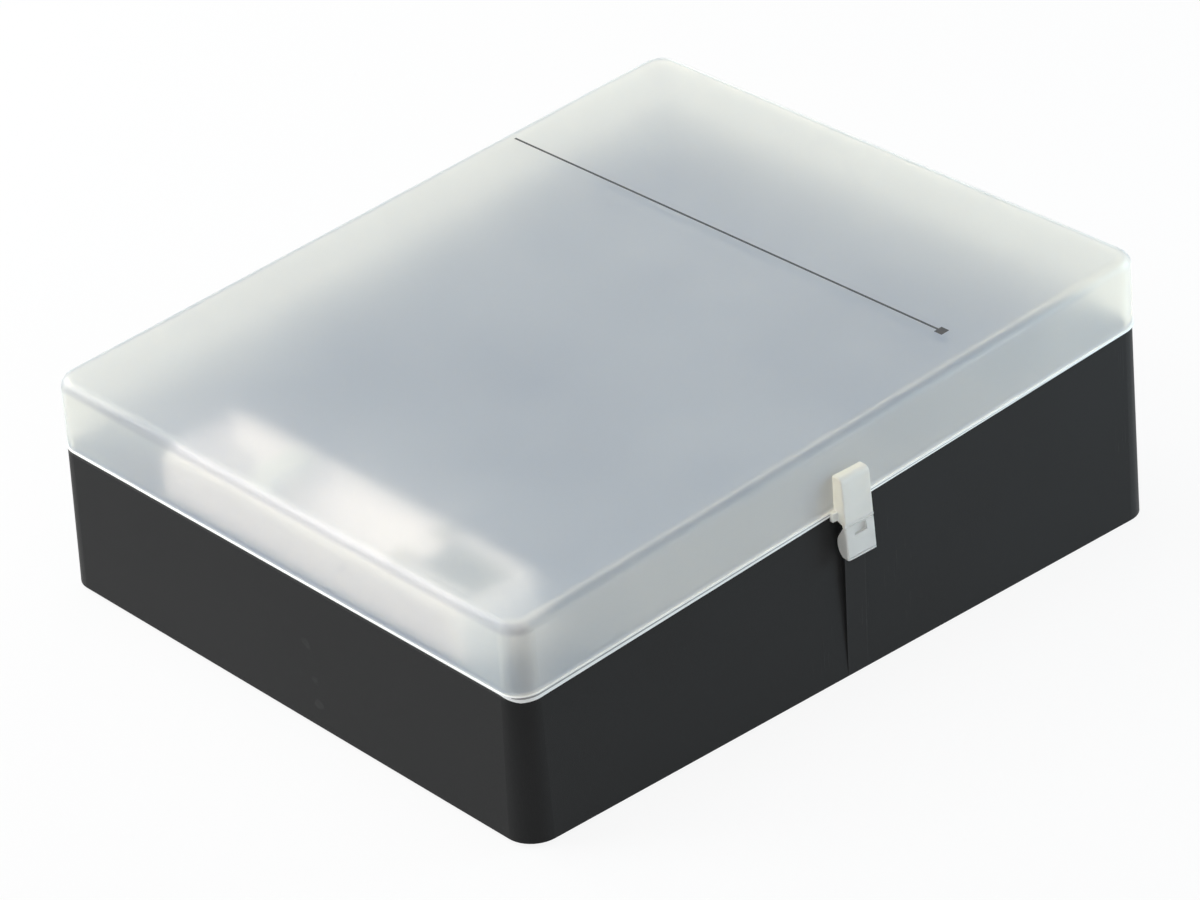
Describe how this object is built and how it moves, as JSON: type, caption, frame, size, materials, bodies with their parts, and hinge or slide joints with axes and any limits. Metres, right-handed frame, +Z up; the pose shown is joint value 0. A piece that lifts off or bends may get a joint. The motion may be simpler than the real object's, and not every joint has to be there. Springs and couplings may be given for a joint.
{
  "type": "battery storage box",
  "caption": "Desktop battery storage box: dark wedge base with cell wells and a removable tester under a frosted hinged lid with a snap latch.",
  "frame": {"origin": "on the table under the middle of the box, level with the feet's undersides", "axes": "+X towards the latch, +Y towards the tall back, +Z up"},
  "size_m": [0.1782, 0.2, 0.0711],
  "materials": {
    "base": "satin charcoal",
    "tray": "matt charcoal",
    "lid": "frosted natural polypropylene",
    "latch": "natural polypropylene",
    "tester": "satin white",
    "slider": "satin grey",
    "window": "clear",
    "display": "display glass",
    "board": "circuit board",
    "steel": "zinc plated",
    "contact": "nickel plated",
    "spring": "spring wire",
    "rubber": "matt"
  },
  "bodies": {
    "base": {"base_shell": "base", "bottom_plate": "base", "bottom_screws": "steel", "rubber_feet": "rubber", "hinge_pin_front": "steel", "hinge_pin_back": "steel", "coin_cell_cup": "tray", "tester_front_shell": "tester", "tester_back_shell": "tester", "tester_window": "window", "tester_display": "display", "tester_board": "board", "tester_screws": "steel", "nine_volt_terminals": "contact", "fixed_contact": "contact", "slider_spring": "spring", "d_cell_tray": "tray", "c_cell_tray": "tray", "aa_cell_tray": "tray", "aaa_cell_tray": "tray", "nine_volt_tray": "tray"},
    "lid": {"lid": "lid", "latch_bracket": "latch"},
    "latch": {"latch_flap": "latch"},
    "slider": {"test_slider": "slider", "slider_contact": "contact"}
  },
  "joints": [
    {"name": "lid_hinge", "type": "hinge", "parent": "base", "child": "lid", "pos_m": [-0.08714, 0.00019, 0.04251], "axis": [0, -0.9973, -0.0728], "range_deg": [0, 110]},
    {"name": "latch_hinge", "type": "hinge", "parent": "lid", "child": "latch", "pos_m": [0.08742, 0.0008, 0.04221], "axis": [0, -1, 0], "range_deg": [0, 90]},
    {"name": "slider_slide", "type": "slide", "parent": "base", "child": "slider", "axis": [-1, 0, 0], "range_m": [0, 0.021], "stiffness_N_per_m": 80, "springref_m": -0.012, "deforming": ["slider_spring"]}
  ]
}
